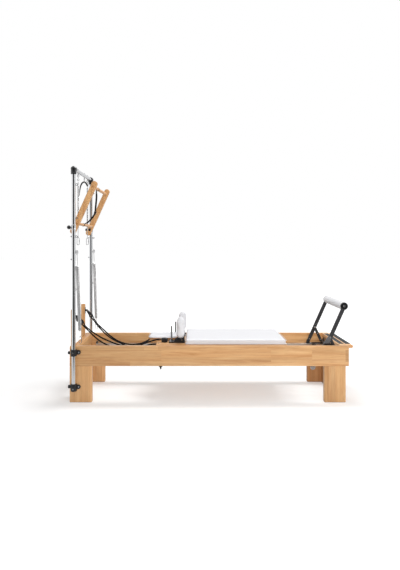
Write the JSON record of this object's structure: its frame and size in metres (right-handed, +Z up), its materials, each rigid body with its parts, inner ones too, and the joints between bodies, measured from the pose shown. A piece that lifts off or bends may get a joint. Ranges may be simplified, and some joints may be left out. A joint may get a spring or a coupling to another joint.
{
  "type": "pilates tower unit",
  "caption": "Wooden sliding-carriage exercise bed with pulley ropes, springs, a padded footbar and a tubular tower that carries hanging springs and a swinging push-through bar.",
  "frame": {"origin": "middle of the object's box, on the floor", "axes": "+X from the tower end to the footbar end, +Y from the near side rail to the far one, +Z up"},
  "size_m": [2.472, 0.794, 2.03],
  "materials": {
    "wood_frame": "satin lacquered maple, laminated, honey brown",
    "wood_light": "satin lacquered maple, lighter",
    "track_aluminium": "anodised satin",
    "black_metal": "black powder coat",
    "graphite_metal": "dark grey powder coat",
    "chrome_tube": "polished",
    "spring_steel": "plated wire",
    "white_vinyl": "white upholstery vinyl, fine grain",
    "black_webbing": "woven webbing",
    "black_rope": "braided rope"
  },
  "bodies": {
    "frame": {"side_rail_near": "wood_frame", "side_rail_far": "wood_frame", "head_board": "wood_frame", "foot_board": "wood_frame", "leg_head_near": "wood_frame", "leg_head_far": "wood_frame", "leg_foot_near": "wood_frame", "leg_foot_far": "wood_frame", "track_near": "track_aluminium", "track_far": "track_aluminium", "standing_platform": "wood_light", "spring_bar": "black_metal", "riser_near": "wood_frame", "riser_far": "wood_frame", "tower_pole_near": "chrome_tube", "tower_pole_far": "chrome_tube", "tower_crossbar": "chrome_tube", "corner_elbow_near": "black_metal", "corner_elbow_far": "black_metal", "pole_bracket_near": "black_metal", "pole_bracket_far": "black_metal", "pole_socket_near": "black_metal", "pole_socket_far": "black_metal", "footbar_bracket_near": "black_metal", "footbar_bracket_far": "black_metal", "rope_near": "black_rope", "rope_far": "black_rope", "carriage_springs": "spring_steel"},
    "carriage": {"carriage_deck": "wood_frame", "carriage_pad": "white_vinyl", "shoulder_base_near": "black_metal", "shoulder_base_far": "black_metal", "shoulder_pad_near": "white_vinyl", "shoulder_pad_far": "white_vinyl", "hand_strap_near": "black_webbing", "hand_strap_far": "black_webbing"},
    "headrest": {"headrest": "white_vinyl"},
    "wheelset_head": {"wheelset_head": "graphite_metal"},
    "wheelset_foot": {"wheelset_foot": "graphite_metal"},
    "bar_clamps": {"bar_clamp_near": "chrome_tube", "bar_clamp_far": "chrome_tube"},
    "push_bar": {"bar_arm_near": "wood_light", "bar_arm_far": "wood_light", "bar_dowel_top": "wood_light", "bar_dowel_low": "wood_light", "bar_strap": "black_webbing"},
    "footbar": {"footbar_arm_near": "graphite_metal", "footbar_arm_far": "graphite_metal", "footbar_roll": "white_vinyl"},
    "footbar_brace": {"footbar_brace": "graphite_metal"},
    "lock_knob_near": {"lock_knob_near": "black_metal"},
    "pulley_near": {"pulley_block_near": "black_metal"},
    "sheave_near": {"pulley_sheave_near": "graphite_metal"},
    "lock_knob_far": {"lock_knob_far": "black_metal"},
    "pulley_far": {"pulley_block_far": "black_metal"},
    "sheave_far": {"pulley_sheave_far": "graphite_metal"},
    "tower_spring_near": {"tower_spring_near": "spring_steel"},
    "crossbar_spring_near": {"crossbar_spring_near": "spring_steel"},
    "tower_spring_far": {"tower_spring_far": "spring_steel"},
    "crossbar_spring_far": {"crossbar_spring_far": "spring_steel"}
  },
  "joints": [
    {"name": "carriage_slide", "type": "slide", "parent": "frame", "child": "carriage", "axis": [1, 0, 0], "range_m": [-0.52, 0], "stiffness_N_per_m": 500, "springref_m": 0.06, "deforming": ["rope_near", "rope_far", "carriage_springs"]},
    {"name": "headrest_tilt", "type": "hinge", "parent": "carriage", "child": "headrest", "pos_m": [-0.302, 0, 0.4969], "axis": [0, 1, 0], "range_deg": [0, 30]},
    {"name": "wheels_head_roll", "type": "hinge", "parent": "carriage", "child": "wheelset_head", "pos_m": [-0.356, 0, 0.4263], "axis": [0, 1, 0], "continuous": true},
    {"name": "wheels_foot_roll", "type": "hinge", "parent": "carriage", "child": "wheelset_foot", "pos_m": [0.544, 0, 0.4263], "axis": [0, 1, 0], "continuous": true},
    {"name": "lock_knob_near_turn", "type": "hinge", "parent": "frame", "child": "lock_knob_near", "pos_m": [-1.216, -0.372, 0.432], "axis": [1, 0, 0], "continuous": true},
    {"name": "pulley_near_swing", "type": "hinge", "parent": "frame", "child": "pulley_near", "pos_m": [-1.181, -0.21, 0.721], "axis": [0, 1, 0], "range_deg": [-30, 0], "deforming": ["rope_near"]},
    {"name": "sheave_near_spin", "type": "hinge", "parent": "pulley_near", "child": "sheave_near", "pos_m": [-1.144, -0.21, 0.671], "axis": [0, 1, 0], "continuous": true},
    {"name": "lock_knob_far_turn", "type": "hinge", "parent": "frame", "child": "lock_knob_far", "pos_m": [-1.216, 0.372, 0.432], "axis": [1, 0, 0], "continuous": true},
    {"name": "pulley_far_swing", "type": "hinge", "parent": "frame", "child": "pulley_far", "pos_m": [-1.181, 0.21, 0.721], "axis": [0, 1, 0], "range_deg": [-30, 0], "deforming": ["rope_far"]},
    {"name": "sheave_far_spin", "type": "hinge", "parent": "pulley_far", "child": "sheave_far", "pos_m": [-1.144, 0.21, 0.671], "axis": [0, 1, 0], "continuous": true},
    {"name": "bar_height", "type": "slide", "parent": "frame", "child": "bar_clamps", "axis": [0, 0, 1], "range_m": [-0.035, 0.035]},
    {"name": "bar_swing", "type": "hinge", "parent": "bar_clamps", "child": "push_bar", "pos_m": [-1.176, 0, 1.505], "axis": [0, 1, 0], "range_deg": [-5, 110]},
    {"name": "tower_spring_near_swing", "type": "hinge", "parent": "frame", "child": "tower_spring_near", "pos_m": [-1.1475, -0.372, 1.2958], "axis": [0, -1, 0], "range_deg": [0, 60]},
    {"name": "crossbar_spring_near_swing", "type": "hinge", "parent": "frame", "child": "crossbar_spring_near", "pos_m": [-1.176, -0.2, 1.9778], "axis": [1, 0, 0], "range_deg": [-10, 10]},
    {"name": "tower_spring_far_swing", "type": "hinge", "parent": "frame", "child": "tower_spring_far", "pos_m": [-1.1475, 0.372, 1.2958], "axis": [0, -1, 0], "range_deg": [0, 60]},
    {"name": "crossbar_spring_far_swing", "type": "hinge", "parent": "frame", "child": "crossbar_spring_far", "pos_m": [-1.176, 0.2, 1.9778], "axis": [1, 0, 0], "range_deg": [-10, 10]},
    {"name": "footbar_tilt", "type": "hinge", "parent": "frame", "child": "footbar", "pos_m": [0.981, 0, 0.408], "axis": [0, 1, 0], "range_deg": [-55, 0]},
    {"name": "brace_swing", "type": "hinge", "parent": "footbar", "child": "footbar_brace", "pos_m": [1.042, 0, 0.546], "axis": [0, 1, 0], "range_deg": [0, 55]}
  ],
  "couplings": [
    {"joint": "wheels_head_roll", "follows": "carriage_slide", "rad_per_m": 26.316},
    {"joint": "wheels_foot_roll", "follows": "carriage_slide", "rad_per_m": 26.316},
    {"joint": "brace_swing", "follows": "footbar_tilt", "ratio": -1}
  ]
}
